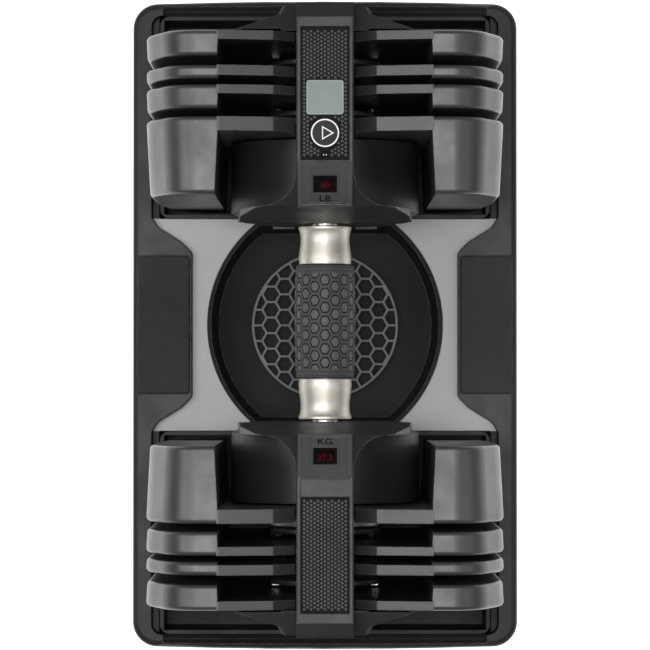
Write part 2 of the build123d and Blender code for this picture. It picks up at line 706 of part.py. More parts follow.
def main():
    os.makedirs("parts", exist_ok=True)
    write("base_shell", base_shell())
    write("base_deck", base_deck())
    write("base_pan", base_pan())
    write("base_screws", base_screws())
    write("base_feet", base_feet())
    write("knuckle_bowl", knuckle_bowl())
    write("honeycomb_grid", honeycomb_grid())
    write("side_pad_right", side_pad())
    write("side_pad_left", side_pad().mirror(Plane.YZ))
    write("release_posts", release_posts())
    write("handle_shaft", handle_shaft())
    write("grip_sleeve", grip_sleeve())
    write("shaft_nuts", shaft_nuts())
    write("housing_screws", housing_screws())
    write("shaft_bushes", shaft_bushes())
    write("display_panel", display_panel())
    write("blank_panel", sided(blank_panel(), -1))
    write("lcd_lens", lcd_lens())
    write("lcd_module", lcd_module())
    write("circuit_board", circuit_board())
    write("coin_cell", post(10.0, 236.8, 240.0, 0, 150.0))
    write("tact_switch", tact_switch())
    write("indicator_lens", indicator_lens())
    write("start_button", start_button())
    write("window_bezels", group(sided(window_bezel(), s) for s in SIDES.values()))
    write("window_lenses", group(sided(window_lens(), s) for s in SIDES.values()))
    for head, side in SIDES.items():
        frame = chassis()
        if head == "lb":
            frame -= display_openings()
        write("chassis_" + head, sided(frame, side))
        write("well_tray_" + head, sided(well_tray(), side))
        write("front_housing_" + head, sided(front_housing(), side))
        write("end_cap_" + head, sided(end_cap(), side))
        write("collar_" + head, sided(collar(side), side))
        write("number_drum_" + head, sided(number_drum(), side))
        write("selector_discs_" + head, selector_discs(side))
        write("lock_slider_" + head, sided(lock_slider(), side))
        write("lock_spring_" + head, sided(lock_spring(), side))
        for number in PLATES:
            cover, core = plate_pair(number)
            write("plate_cover_" + head + "_" + number, sided(cover, side))
            write("plate_core_" + head + "_" + number, sided(core, side))


main()
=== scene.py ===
"""Looks of the adjustable dumbbell in its storage base, in metres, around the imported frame."""

import json
import math

import bmesh
import bpy
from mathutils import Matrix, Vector


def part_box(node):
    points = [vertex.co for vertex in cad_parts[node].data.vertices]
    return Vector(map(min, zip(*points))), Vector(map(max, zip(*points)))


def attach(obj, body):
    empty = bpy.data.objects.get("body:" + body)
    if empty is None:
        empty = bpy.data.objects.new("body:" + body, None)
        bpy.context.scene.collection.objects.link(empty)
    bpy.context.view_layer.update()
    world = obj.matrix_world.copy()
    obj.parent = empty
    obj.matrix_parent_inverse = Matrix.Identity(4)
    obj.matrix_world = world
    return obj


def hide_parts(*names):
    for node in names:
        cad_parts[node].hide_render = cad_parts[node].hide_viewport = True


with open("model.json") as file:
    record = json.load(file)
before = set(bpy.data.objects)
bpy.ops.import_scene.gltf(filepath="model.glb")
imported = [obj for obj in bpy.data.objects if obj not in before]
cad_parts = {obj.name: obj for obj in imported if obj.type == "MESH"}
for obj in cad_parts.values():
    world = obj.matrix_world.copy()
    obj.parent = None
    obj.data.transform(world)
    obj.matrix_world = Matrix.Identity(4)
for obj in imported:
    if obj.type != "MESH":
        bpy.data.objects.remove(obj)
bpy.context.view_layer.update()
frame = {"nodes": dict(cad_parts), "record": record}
NODES = frame["nodes"]
MM = 0.001

# Handle
AXIS_Z = 135 * MM
GRIP_CENTRE_Y = 0.8 * MM
GRIP_RADIUS = 18.9 * MM
# The grip is thinner by this drop at this reach from its middle
BARREL_DROP = 0.9 * MM
BARREL_REACH = 34.2 * MM
# The sleeve below the studs
SLEEVE_END = 34.8 * MM
SLEEVE_BORE = 10.1 * MM
SLEEVE_RADIUS = 17.05 * MM

# Studs of the grip, on six-sided cells
STUD_COLUMNS = 18
STUD_ROWS = 7
STUD_ROW_STEP = 8.5 * MM
STUD_COLUMN_STEP = 2 * math.pi * GRIP_RADIUS / STUD_COLUMNS
STUD_FIELD_END = STUD_ROWS * STUD_ROW_STEP / 2
STUD_RISE = 0.08 * MM
STUD_GROOVE_FLOOR = -0.6 * MM
SKIN_THICKNESS = 0.7 * MM
WELD_DISTANCE = 0.02 * MM
# Places of the skin's three materials
WEB, GROOVE, STUD = 0, 1, 2
# Share of the cell, height, and material of the faces outside each ring, from the cell's edge inwards
STUD_PROFILE = (
    (1.0, 0.0, WEB),
    (0.80, 0.0, WEB),
    (0.75, STUD_GROOVE_FLOOR, GROOVE),
    (0.67, STUD_GROOVE_FLOOR, GROOVE),
    (0.62, 0.0, GROOVE),
    (0.52, STUD_RISE, STUD),
)

# Plain bands at the grip's ends
BAND_LAP = 0.2 * MM
BAND_RISE = 0.05 * MM
BAND_INNER_RADIUS = 17.0 * MM
BAND_GROOVES = (31.2 * MM, 33.3 * MM)
BAND_GROOVE_HALF_WIDTH = 0.35 * MM
BAND_GROOVE_DEPTH = 0.3 * MM
# (y, radius) of the rounding at the end of a band
BAND_END = ((34.4 * MM, 17.9 * MM), (34.9 * MM, 17.2 * MM), (34.9 * MM, BAND_INNER_RADIUS))
RING_SIDES = 96

# Base
DECK_PAINT_END = 68.2 * MM
CLIP_X = (19.5 * MM, 33.5 * MM)
CLIP_Y = (61.7 * MM, 64.2 * MM)
CLIP_Z = (50.0 * MM, 58.0 * MM)

# Console panels
PANEL_TOP_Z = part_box("display_panel")[1].z
DOT_PITCH = 2.33 * MM
DOT_INSET = 1.75 * MM
# (radius, height) of a dot from its foot to its top
DOT_PROFILE = ((1.02 * MM, -0.1 * MM), (1.02 * MM, 0.0), (0.70 * MM, 0.30 * MM))
# Room that the dots leave round the display's fittings
LCD_MARGIN = 1.1 * MM
BUTTON_CLEARANCE = 10.0 * MM
INDICATOR_CLEARANCE = 3.3 * MM
BUTTON_Y = 109 * MM
INDICATOR_Y = 96.2 * MM
# Outer and inner edge of each ring-shaped mark
BUTTON_RING = (8.25 * MM, 7.45 * MM)
TRIANGLE = (4.7 * MM, 3.45 * MM)
TRIANGLE_X = 0.6 * MM
INDICATOR_RING = (2.9 * MM, 2.15 * MM)
CONTACT_X = 0.75 * MM
CONTACT_RADIUS = 0.33 * MM

# Weight windows. The sloping face rises 45 degrees: its z is its y plus WINDOW_FACE_RISE
WINDOW_FACE_RISE = 162.7 * MM
# Half width, lower y and upper y of the window frame's outer and inner edges
WINDOW_FRAME = ((7.0 * MM, 75.0 * MM, 84.5 * MM), (5.7 * MM, 76.1 * MM, 83.4 * MM))
LABEL_Y = 71.7 * MM
LABEL_SIZE = 6.8 * MM
NUMBER_Y = 82.2 * MM
NUMBER_SIZE = 5.4 * MM
LETTER_DEPTH = 0.15 * MM
DRUM_RADIUS = 53 * MM
DRUM_GAP = 0.05 * MM

WEIGHTS_LB = "60 55 50 45 40 35 30 25 22.5 20 17.5 15 12.5 10 7.5 5".split()
KG_PER_LB = 0.45359

SIDES = {"lb": 1, "kg": -1}


# Shader graphs


class Graph:
    """A Principled material with a few helpers for its node graph."""

    def __init__(self, name):
        self.material = bpy.data.materials.new(name)
        self.material.use_nodes = True
        tree = self.material.node_tree
        self.nodes = tree.nodes
        self.links = tree.links
        self.shader = self.nodes["Principled BSDF"]
        self.place = self.nodes.new("ShaderNodeTexCoord").outputs["Object"]

    def set(self, **values):
        """Sets shader sockets; underscores in the names stand for spaces."""
        for name, value in values.items():
            self.shader.inputs[name.replace("_", " ")].default_value = value

    def into(self, socket, output):
        self.links.new(output, self.shader.inputs[socket])

    def stretched(self, scale):
        """Place on the object, scaled by a different number on each axis."""
        mapping = self.nodes.new("ShaderNodeMapping")
        mapping.inputs["Scale"].default_value = scale
        self.links.new(self.place, mapping.inputs["Vector"])
        return mapping.outputs["Vector"]

    def noise(self, scale, detail=3.0, roughness=0.55, vector=None):
        node = self.nodes.new("ShaderNodeTexNoise")
        node.inputs["Scale"].default_value = scale
        node.inputs["Detail"].default_value = detail
        node.inputs["Roughness"].default_value = roughness
        self.links.new(vector or self.place, node.inputs["Vector"])
        return node.outputs["Fac"]

    def cells(self, scale):
        """Distance from the centres of irregular cells."""
        node = self.nodes.new("ShaderNodeTexVoronoi")
        node.inputs["Scale"].default_value = scale
        self.links.new(self.place, node.inputs["Vector"])
        return node.outputs["Distance"]

    def remap(self, value, low, high, to_low=0.0, to_high=1.0):
        node = self.nodes.new("ShaderNodeMapRange")
        for socket, number in zip(("From Min", "From Max", "To Min", "To Max"), (low, high, to_low, to_high)):
            node.inputs[socket].default_value = number
        self.links.new(value, node.inputs["Value"])
        return node.outputs["Result"]

    def height_along(self, axis):
        """Distance of the point from the object's middle plane along one axis."""
        split = self.nodes.new("ShaderNodeSeparateXYZ")
        self.links.new(self.place, split.inputs["Vector"])
        size = self.nodes.new("ShaderNodeMath")
        size.operation = "ABSOLUTE"
        self.links.new(split.outputs[axis], size.inputs[0])
        return size.outputs["Value"]

    def blend(self, factor, colour_a, colour_b):
        """Mixes two colours, each a tuple or another node's output."""
        node = self.nodes.new("ShaderNodeMix")
        node.data_type = "RGBA"
        self.links.new(factor, node.inputs["Factor"])
        for socket, colour in (("A", colour_a), ("B", colour_b)):
            target = [s for s in node.inputs if s.name == socket and s.type == "RGBA"][0]
            if isinstance(colour, tuple):
                target.default_value = (*colour, 1.0)
            else:
                self.links.new(colour, target)
        return [s for s in node.outputs if s.type == "RGBA"][0]

    def rounded_edges(self, radius):
        """The surface normal with its sharp edges softened, and a mask that is 1 on those edges."""
        bevel = self.nodes.new("ShaderNodeBevel")
        bevel.samples = 4
        bevel.inputs["Radius"].default_value = radius
        flat = self.nodes.new("ShaderNodeNewGeometry").outputs["Normal"]
        dot = self.nodes.new("ShaderNodeVectorMath")
        dot.operation = "DOT_PRODUCT"
        self.links.new(bevel.outputs["Normal"], dot.inputs[0])
        self.links.new(flat, dot.inputs[1])
        return bevel.outputs["Normal"], self.remap(dot.outputs["Value"], 0.99, 0.86)

    def relief(self, height, strength, distance, normal=None):
        node = self.nodes.new("ShaderNodeBump")
        node.inputs["Strength"].default_value = strength
        node.inputs["Distance"].default_value = distance
        self.links.new(height, node.inputs["Height"])
        if normal is not None:
            self.links.new(normal, node.inputs["Normal"])
        return node.outputs["Normal"]


def grey(value):
    """Neutral tone with a trace of blue."""
    return (value, value, value * 1.02)


def moulded(name, tone, rough, grain=1400.0, depth=0.06, edge=1.6, edge_radius=0.9, specular=0.5):
    """Moulded plastic or rubber: fine grain, slow tone changes, handling marks and paler edges, which are
    partly wear and partly a painted highlight.

    The grain's depth and the radius of the softened edges are in millimetres.
    Edges are edge times paler in scuffed patches: wear, and a painted highlight along the edges.
    """
    g = Graph(name)
    normal, edges = g.rounded_edges(edge_radius * MM)
    slow = g.remap(g.noise(9.0, 4.0), 0.35, 0.65)
    colour = g.blend(slow, grey(tone * 0.75), grey(tone * 1.25))
    specks = g.remap(g.noise(2600.0, 2.0), 0.62, 0.78, 0.0, 0.35)
    colour = g.blend(specks, colour, grey(tone * 1.9))
    scuffs = g.remap(g.noise(160.0, 6.0, 0.7), 0.35, 0.62)
    # Paler edges in scuffed patches: partly wear, partly a painted highlight along the edges
    edge_wear_and_highlight = g.nodes.new("ShaderNodeMath")
    edge_wear_and_highlight.operation = "MULTIPLY"
    g.links.new(edges, edge_wear_and_highlight.inputs[0])
    g.links.new(scuffs, edge_wear_and_highlight.inputs[1])
    colour = g.blend(edge_wear_and_highlight.outputs["Value"], colour, grey(min(tone * edge + 0.02, 0.8)))
    g.into("Base Color", colour)
    marks = g.noise(38.0, 5.0, 0.65)
    g.into("Roughness", g.remap(marks, 0.3, 0.7, rough - 0.06, rough + 0.07))
    g.into("Normal", g.relief(g.noise(grain, 4.0, 0.6), 0.55, depth * MM, normal))
    g.set(Specular_IOR_Level=specular)
    return g.material


def speckled_deck(name):
    """Pale grey moulding with a stippled skin, fine flecks and a painted highlight on its edges, left black
    beside the wells.
    """
    g = Graph(name)
    normal, edges = g.rounded_edges(0.8 * MM)
    slow = g.remap(g.noise(7.0, 3.0), 0.3, 0.7)
    colour = g.blend(slow, (0.350, 0.350, 0.355), (0.405, 0.405, 0.405))
    flecks = g.noise(1900.0, 3.0, 0.7)
    colour = g.blend(g.remap(flecks, 0.56, 0.72, 0.0, 0.55), colour, (0.5, 0.5, 0.5))
    colour = g.blend(g.remap(g.noise(1500.0, 3.0, 0.7), 0.58, 0.74, 0.0, 0.6), colour, (0.17, 0.17, 0.17))
    # Painted highlight: every edge of the deck is paler
    colour = g.blend(edges, colour, (0.62, 0.62, 0.62))
    beside_wells = g.remap(g.height_along("Y"), DECK_PAINT_END, DECK_PAINT_END + 0.3 * MM)
    g.into("Base Color", g.blend(beside_wells, colour, (0.012, 0.012, 0.012)))
    g.into("Roughness", g.remap(flecks, 0.3, 0.7, 0.5, 0.68))
    g.set(Specular_IOR_Level=0.3)
    g.into("Normal", g.relief(flecks, 0.5, 0.08 * MM, normal))
    return g.material


def metal(name, colour, rough, brush_scale):
    """Metal with turning or brushing lines and slightly darker traces of use."""
    g = Graph(name)
    normal, _ = g.rounded_edges(0.3 * MM)
    lines = g.noise(1.0, 3.0, 0.6, g.stretched(brush_scale))
    smudge = g.remap(g.noise(55.0, 4.0), 0.35, 0.7)
    dark = tuple(c * 0.82 for c in colour)
    g.into("Base Color", g.blend(smudge, colour, dark))
    g.into("Roughness", g.remap(lines, 0.25, 0.75, rough - 0.06, rough + 0.08))
    g.into("Normal", g.relief(lines, 0.10, 0.02 * MM, normal))
    g.set(Metallic=1.0)
    return g.material


def tinted_window(name, colour, alpha):
    """Dark see-through plastic with a slight haze."""
    g = Graph(name)
    haze = g.noise(220.0, 3.0)
    g.into("Base Color", g.blend(g.remap(haze, 0.3, 0.7), colour, tuple(c * 0.7 for c in colour)))
    g.into("Roughness", g.remap(haze, 0.3, 0.7, 0.05, 0.12))
    g.set(Alpha=alpha, Specular_IOR_Level=0.25)
    return g.material


def display_glass(name):
    """Unlit liquid-crystal screen with a faint cross-hatch of electrodes."""
    g = Graph(name)
    grid = g.noise(1.0, 1.0, 0.5, g.stretched((3600.0, 900.0, 1.0)))
    tone = g.blend(g.remap(g.noise(30.0, 2.0), 0.3, 0.7), (0.170, 0.210, 0.187), (0.195, 0.237, 0.211))
    g.into("Base Color", g.blend(g.remap(grid, 0.35, 0.65, 0.0, 0.25), tone, (0.158, 0.194, 0.170)))
    g.into("Roughness", g.remap(g.noise(90.0, 3.0), 0.3, 0.7, 0.34, 0.42))
    g.set(Specular_IOR_Level=0.22)
    return g.material


def print_ink(name, colour, painted_glow=0.0):
    """Printed ink, a little uneven; an optional emission paints a faint glow on it, so the red numbers show
    behind the dark window.
    """
    g = Graph(name)
    fade = g.remap(g.noise(700.0, 4.0), 0.3, 0.7)
    tone = g.blend(fade, colour, tuple(c * 0.8 for c in colour))
    g.into("Base Color", tone)
    g.into("Roughness", g.remap(g.noise(400.0, 2.0), 0.3, 0.7, 0.5, 0.65))
    g.set(Specular_IOR_Level=0.1)
    # Painted glow: the ink emits light though nothing lights it
    if painted_glow:
        g.into("Emission Color", tone)
        g.set(Emission_Strength=painted_glow)
    return g.material


def circuit_material(name):
    """Green board with darker patches between its tracks."""
    g = Graph(name)
    tracks = g.remap(g.cells(420.0), 0.28, 0.34)
    g.into("Base Color", g.blend(tracks, (0.02, 0.17, 0.06), (0.01, 0.08, 0.03)))
    g.into("Roughness", g.remap(tracks, 0.0, 1.0, 0.25, 0.4))
    return g.material


MATERIALS = {}


def stock(name, make, *values, **settings):
    """Makes a material and files it under its name."""
    MATERIALS[name] = make(name, *values, **settings)


# edge: how many times paler the edges are painted, as wear and painted highlight
stock("base_black", moulded, 0.018, 0.33, grain=700.0, depth=0.015, edge=3.5, edge_radius=1.2, specular=0.14)
stock("deck_grey", speckled_deck)
stock("tray_black", moulded, 0.012, 0.50, depth=0.04, edge=4.0, specular=0.25)
stock("bowl_black", moulded, 0.018, 0.70, grain=1800.0, depth=0.05, edge=7.0, specular=0.10)
stock("grid_grey", moulded, 0.075, 0.50, depth=0.04)
stock("pad_rubber", moulded, 0.020, 0.70, grain=1700.0, depth=0.10, edge=5.0, specular=0.25)
stock("foot_rubber", moulded, 0.020, 0.75, depth=0.10)
stock("plate_plastic", moulded, 0.029, 0.35, grain=1500.0, depth=0.06, edge=4.5, specular=0.44)
stock("housing_black", moulded, 0.019, 0.42, 1500.0, depth=0.05, edge=4.5, edge_radius=0.8, specular=0.32)
stock("cap_black", moulded, 0.024, 0.85, grain=1500.0, depth=0.05, edge=3.0, edge_radius=0.5, specular=0.05)
stock("bezel_grey", moulded, 0.055, 0.55, grain=2000.0, depth=0.04, edge=3.5, edge_radius=0.4)
stock("lens_black", moulded, 0.004, 0.60, depth=0.01, edge=1.0, specular=0.08)
stock("panel_black", moulded, 0.006, 0.60, grain=2200.0, depth=0.03, edge=1.5, specular=0.08)
stock("dot_grey", moulded, 0.044, 0.50, grain=2600.0, depth=0.02, edge_radius=0.2, specular=0.28)
stock("button_black", moulded, 0.020, 0.50, depth=0.03, specular=0.15)
stock("drum_plastic", moulded, 0.010, 0.6)
stock("module_plastic", moulded, 0.08, 0.5)
stock("grip_rubber", moulded, 0.040, 0.62, grain=1900.0, depth=0.09, edge=2.0, edge_radius=0.3)
stock("grip_stud", moulded, 0.075, 0.58, grain=1900.0, depth=0.07, edge=1.6, edge_radius=0.3)
stock("grip_groove", moulded, 0.010, 0.75, grain=1900.0, depth=0.05, edge=1.0, specular=0.2)
stock("core_iron", moulded, 0.10, 0.6, grain=500.0, depth=0.2)
stock("collar_nickel", metal, (0.54, 0.51, 0.46), 0.47, (60.0, 900.0, 60.0))
stock("shaft_steel", metal, (0.55, 0.55, 0.56), 0.3, (60.0, 2400.0, 60.0))
stock("screw_steel", metal, (0.28, 0.28, 0.29), 0.38, (900.0, 900.0, 900.0))
stock("selector_metal", metal, (0.5, 0.5, 0.52), 0.35, (700.0, 700.0, 700.0))
stock("slider_metal", metal, (0.5, 0.5, 0.52), 0.35, (300.0, 300.0, 1500.0))
stock("spring_steel", metal, (0.5, 0.48, 0.45), 0.3, (1500.0, 200.0, 200.0))
stock("bush_brass", metal, (0.72, 0.55, 0.28), 0.32, (60.0, 2400.0, 60.0))
stock("cell_steel", metal, (0.62, 0.62, 0.62), 0.25, (900.0, 900.0, 60.0))
stock("window_clear", tinted_window, (0.012, 0.003, 0.004), 0.30)
stock("lcd_grey", display_glass)
stock("board_green", circuit_material)
INK_WHITE = print_ink("ink_white", (0.86, 0.86, 0.86))
# The red numbers glow: painted light
INK_RED = print_ink("ink_red", (0.55, 0.01, 0.04), painted_glow=0.3)
INK_DARK = print_ink("ink_dark", (0.004, 0.004, 0.004))
INK_SILVER = print_ink("ink_silver", (0.32, 0.36, 0.34))

# A node whose finish differs from its slot's
FINISHES = {
    "knuckle_bowl": "bowl_black",
    "window_bezels": "bezel_grey",
    "indicator_lens": "lens_black",
    "end_cap_lb": "cap_black",
    "end_cap_kg": "cap_black",
}


def paint_nodes():
    """Gives every CAD node its material."""
    slots = {part["node"]: part["material_slot"] for part in frame["record"]["subparts"]}
    for name, node in NODES.items():
        material = MATERIALS[FINISHES.get(name, slots[name])]
        if node.data.materials:
            for index in range(len(node.data.materials)):
                node.data.materials[index] = material
        else:
            node.data.materials.append(material)


# Mesh helpers


def mesh_piece(name, build, materials, body):
    """Runs build(bm) on a new mesh, and rides the piece on a CAD body."""
    mesh = bpy.data.meshes.new(name)
    bm = bmesh.new()
    build(bm)
    bmesh.ops.recalc_face_normals(bm, faces=bm.faces)
    bm.to_mesh(mesh)
    bm.free()
    piece = bpy.data.objects.new(name, mesh)
    bpy.context.scene.collection.objects.link(piece)
    for material in materials:
        mesh.materials.append(material)
    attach(piece, body)
    return piece


def smooth(piece, angle):
    """Smooth shading that keeps edges sharper than the angle."""
    mesh = piece.data
    mesh.polygons.foreach_set("use_smooth", [True] * len(mesh.polygons))
    bm = bmesh.new()
    bm.from_mesh(mesh)
    for edge in bm.edges:
        edge.smooth = len(edge.link_faces) == 2 and edge.calc_face_angle() < math.radians(angle)
    bm.to_mesh(mesh)
    bm.free()


def bevelled(piece, width):
    """Rounds a piece's sharp edges."""
    modifier = piece.modifiers.new("rounding", "BEVEL")
    modifier.width = width
    modifier.segments = 2
    modifier.limit_method = "ANGLE"


def ring_points(radius, count):
    """Corner offsets of a regular polygon."""
    turns = [2 * math.pi * i / count for i in range(count)]
    return [(radius * math.cos(turn), radius * math.sin(turn)) for turn in turns]


def polygon(centre, radius, count):
    """Corners of a regular polygon round a centre."""
    return [(x + centre[0], y + centre[1]) for x, y in ring_points(radius, count)]


def rectangle(x0, y0, x1, y1):
    return [(x0, y0), (x1, y0), (x1, y1), (x0, y1)]


def inset_rectangles(low, high, insets):
    """Rectangles inside a box seen from above, one for each inset."""
    return [rectangle(low.x + inset, low.y + inset, high.x - inset, high.y - inset) for inset in insets]


def band(bm, lower, upper, material=0):
    """Joins two closed rings of vertices with quads."""
    count = len(lower)
    for i in range(count):
        face = bm.faces.new((lower[i], lower[(i + 1) % count], upper[(i + 1) % count], upper[i]))
        face.material_index = material


def prism(bm, outlines, z0, z1):
    """Flat piece between two heights, from an outer outline and an optional inner one for its hole."""
    loops = []
    for outline in outlines:
        low = [bm.verts.new((x, y, z0)) for x, y in outline]
        high = [bm.verts.new((x, y, z1)) for x, y in outline]
        band(bm, low, high)
        loops.append((low, high))
    if len(loops) == 1:
        bm.faces.new(loops[0][0])
        bm.faces.new(loops[0][1])
    else:
        band(bm, loops[0][0], loops[1][0])
        band(bm, loops[0][1], loops[1][1])


# Rubber grip with six-sided studs


def grip_radius(y):
    """Barrel shape of the grip, from the distance along it from its middle."""
    return GRIP_RADIUS - BARREL_DROP * (y / BARREL_REACH) ** 2


def on_grip(around, y, height):
    """A point on the grip, from the arc length around it and the height above its skin."""
    angle = around / GRIP_RADIUS
    radius = grip_radius(y) + height
    return (radius * math.sin(angle), GRIP_CENTRE_Y + y, AXIS_Z + radius * math.cos(angle))


def stud_ring(bm, u, v, share, height):
    """Six-sided ring round a cell's centre, with vertices at its corners and the middles of its sides."""
    reach_u = share * STUD_COLUMN_STEP / 1.5
    reach_v = share * STUD_ROW_STEP / math.sqrt(3)
    corners = [(x * reach_u, y * reach_v) for x, y in ring_points(1.0, 6)]
    ring = []
    for (x0, y0), (x1, y1) in zip(corners, corners[1:] + corners[:1]):
        ring.append(bm.verts.new(on_grip(u + x0, v + y0, height)))
        ring.append(bm.verts.new(on_grip(u + (x0 + x1) / 2, v + (y0 + y1) / 2, height)))
    return ring


def build_stud(bm, u, v):
    """One cell of the skin: its stud and the groove round it."""
    previous = None
    for share, height, material in STUD_PROFILE:
        ring = stud_ring(bm, u, v, share, height)
        if previous:
            band(bm, previous, ring, material)
        previous = ring
    centre = bm.verts.new(on_grip(u, v, STUD_RISE))
    for corner, following in zip(previous, previous[1:] + previous[:1]):
        cap = bm.faces.new((corner, following, centre))
        cap.material_index = STUD


def build_stud_skin(bm):
    """Cells that tile the skin in staggered columns, cut off level at the end bands."""
    for column in range(STUD_COLUMNS):
        shift = 0.5 * (column % 2)
        for row in range(STUD_ROWS + column % 2):
            build_stud(bm, column * STUD_COLUMN_STEP, (row - (STUD_ROWS - 1) / 2 - shift) * STUD_ROW_STEP)
    bmesh.ops.remove_doubles(bm, verts=bm.verts, dist=WELD_DISTANCE)
    for side in (1, -1):
        geometry = list(bm.verts) + list(bm.edges) + list(bm.faces)
        cut = (0, GRIP_CENTRE_Y + side * STUD_FIELD_END, 0)
        bmesh.ops.bisect_plane(bm, geom=geometry, plane_co=cut, plane_no=(0, side, 0), clear_outer=True)


def turned_ring(bm, profile):
    """Closed ring about the handle axis, from a closed profile of (y from the grip's middle, radius)."""
    rings = []
    for y, radius in profile:
        points = ring_points(radius, RING_SIDES)
        rings.append([bm.verts.new((x, GRIP_CENTRE_Y + y, AXIS_Z + z)) for x, z in points])
    for lower, upper in zip(rings, rings[1:] + rings[:1]):
        band(bm, lower, upper)


def build_grip_bands(bm):
    """Plain end bands with two shallow grooves, and the sleeve below the studs."""
    start = STUD_FIELD_END - BAND_LAP
    for side in (1, -1):
        profile = [(start, BAND_INNER_RADIUS), (start, grip_radius(start) + BAND_RISE)]
        for groove in BAND_GROOVES:
            profile.append((groove - BAND_GROOVE_HALF_WIDTH, grip_radius(groove) + BAND_RISE))
            profile.append((groove, grip_radius(groove) - BAND_GROOVE_DEPTH))
            profile.append((groove + BAND_GROOVE_HALF_WIDTH, grip_radius(groove) + BAND_RISE))
        profile.extend(BAND_END)
        turned_ring(bm, [(side * y, radius) for y, radius in profile])
    sleeve = [(-SLEEVE_END, SLEEVE_BORE), (-SLEEVE_END, SLEEVE_RADIUS)]
    sleeve += [(SLEEVE_END, SLEEVE_RADIUS), (SLEEVE_END, SLEEVE_BORE)]
    turned_ring(bm, sleeve)


def grip():
    """Studded skin and plain bands, shown in place of the CAD sleeve."""
    rubbers = [MATERIALS[name] for name in ("grip_rubber", "grip_groove", "grip_stud")]
    skin = mesh_piece("grip_studs", build_stud_skin, rubbers, "rotor")
    thickness = skin.modifiers.new("wall", "SOLIDIFY")
    thickness.thickness = SKIN_THICKNESS
    thickness.offset = -1.0
    smooth(skin, 25.0)
    bands = mesh_piece("grip_bands", build_grip_bands, [MATERIALS["grip_rubber"]], "rotor")
    smooth(bands, 35.0)
    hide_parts("grip_sleeve")


# Embossed console panels


def dot_places(x_range, y_range, keep):
    """Centres of a lattice of staggered columns in a rectangle, where keep(x, y) holds."""
    column_step = DOT_PITCH * math.sqrt(3) / 2
    columns = int((x_range[1] - x_range[0]) / column_step)
    rows = int((y_range[1] - y_range[0]) / DOT_PITCH)
    x0 = (x_range[0] + x_range[1] - columns * column_step) / 2
    y0 = (y_range[0] + y_range[1] - rows * DOT_PITCH) / 2
    places = []
    for column in range(columns + 1):
        for row in range(rows + 1 - column % 2):
            x = x0 + column * column_step
            y = y0 + (row + 0.5 * (column % 2)) * DOT_PITCH
            if keep(x, y):
                places.append((x, y))
    return places


def build_dots(places, base_z):
    """Small six-sided bosses with sloped sides."""

    def build(bm):
        for place in places:
            rings = []
            for radius, height in DOT_PROFILE:
                rings.append([bm.verts.new((x, y, base_z + height)) for x, y in polygon(place, radius, 6)])
            for lower, upper in zip(rings, rings[1:]):
                band(bm, lower, upper)
            bm.faces.new(rings[-1])
            bm.faces.new(list(reversed(rings[0])))

    return build


def build_border(low, high):
    """Black line that runs round the edge of a panel."""

    def build(bm):
        prism(bm, inset_rectangles(low, high, (0.0, 0.6 * MM)), high.z - 0.3 * MM, high.z + 0.15 * MM)

    return build


def clear_of_display(x, y):
    """True where the display panel has room for a dot."""
    low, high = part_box("lcd_lens")
    in_columns = low.x - LCD_MARGIN < x < high.x + LCD_MARGIN
    in_rows = low.y - LCD_MARGIN < y < high.y + LCD_MARGIN
    in_button = math.hypot(x, y - BUTTON_Y) < BUTTON_CLEARANCE
    in_indicator = math.hypot(x, y - INDICATOR_Y) < INDICATOR_CLEARANCE
    return not (in_columns and in_rows or in_button or in_indicator)


def panel_dots():
    """Dots and a border on each console panel."""
    for node, keep in (("display_panel", clear_of_display), ("blank_panel", lambda x, y: True)):
        low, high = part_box(node)
        x_range = (low.x + DOT_INSET, high.x - DOT_INSET)
        y_range = (low.y + DOT_INSET, high.y - DOT_INSET)
        build = build_dots(dot_places(x_range, y_range, keep), high.z)
        mesh_piece(node + "_dots", build, [MATERIALS["dot_grey"]], "dumbbell")
        mesh_piece(node + "_border", build_border(low, high), [INK_DARK], "dumbbell")


# Printed marks


def start_marks():
    """White ring and triangle outline on the start button."""
    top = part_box("start_button")[1].z

    def build(bm):
        ring = [polygon((0.0, BUTTON_Y), radius, 72) for radius in BUTTON_RING]
        prism(bm, ring, top - 0.8 * MM, top + 0.06 * MM)
        triangle = [polygon((TRIANGLE_X, BUTTON_Y), radius, 3) for radius in TRIANGLE]
        prism(bm, triangle, top - 0.3 * MM, top + 0.06 * MM)

    mesh_piece("start_marks", build, [INK_WHITE], "start_button")


def indicator_marks():
    """Black bezel with two pale contacts below the start button."""
    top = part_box("indicator_lens")[1].z

    def bezel(bm):
        ring = [polygon((0.0, INDICATOR_Y), radius, 40) for radius in INDICATOR_RING]
        prism(bm, ring, PANEL_TOP_Z - 0.2 * MM, PANEL_TOP_Z + 0.3 * MM)

    def contacts(bm):
        for x in (-CONTACT_X, CONTACT_X):
            prism(bm, [polygon((x, INDICATOR_Y), CONTACT_RADIUS, 16)], top - 0.2 * MM, top + 0.05 * MM)

    mesh_piece("indicator_bezel", bezel, [INK_DARK], "dumbbell")
    mesh_piece("indicator_contacts", contacts, [INK_WHITE], "dumbbell")


def lettering(name, text, size, material, body):
    """Solid letters, centred on the origin and facing +Z, as a mesh."""
    curve = bpy.data.curves.new(name, "FONT")
    curve.body = text
    curve.size = size
    curve.extrude = LETTER_DEPTH
    curve.align_x = "CENTER"
    curve.align_y = "CENTER"
    curve.resolution_u = 3
    holder = bpy.data.objects.new(name + "_text", curve)
    bpy.context.scene.collection.objects.link(holder)
    bpy.context.view_layer.update()
    mesh = bpy.data.meshes.new_from_object(holder.evaluated_get(bpy.context.evaluated_depsgraph_get()))
    bpy.data.objects.remove(holder)
    piece = bpy.data.objects.new(name, mesh)
    bpy.context.scene.collection.objects.link(piece)
    mesh.materials.clear()
    mesh.materials.append(material)
    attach(piece, body)
    return piece


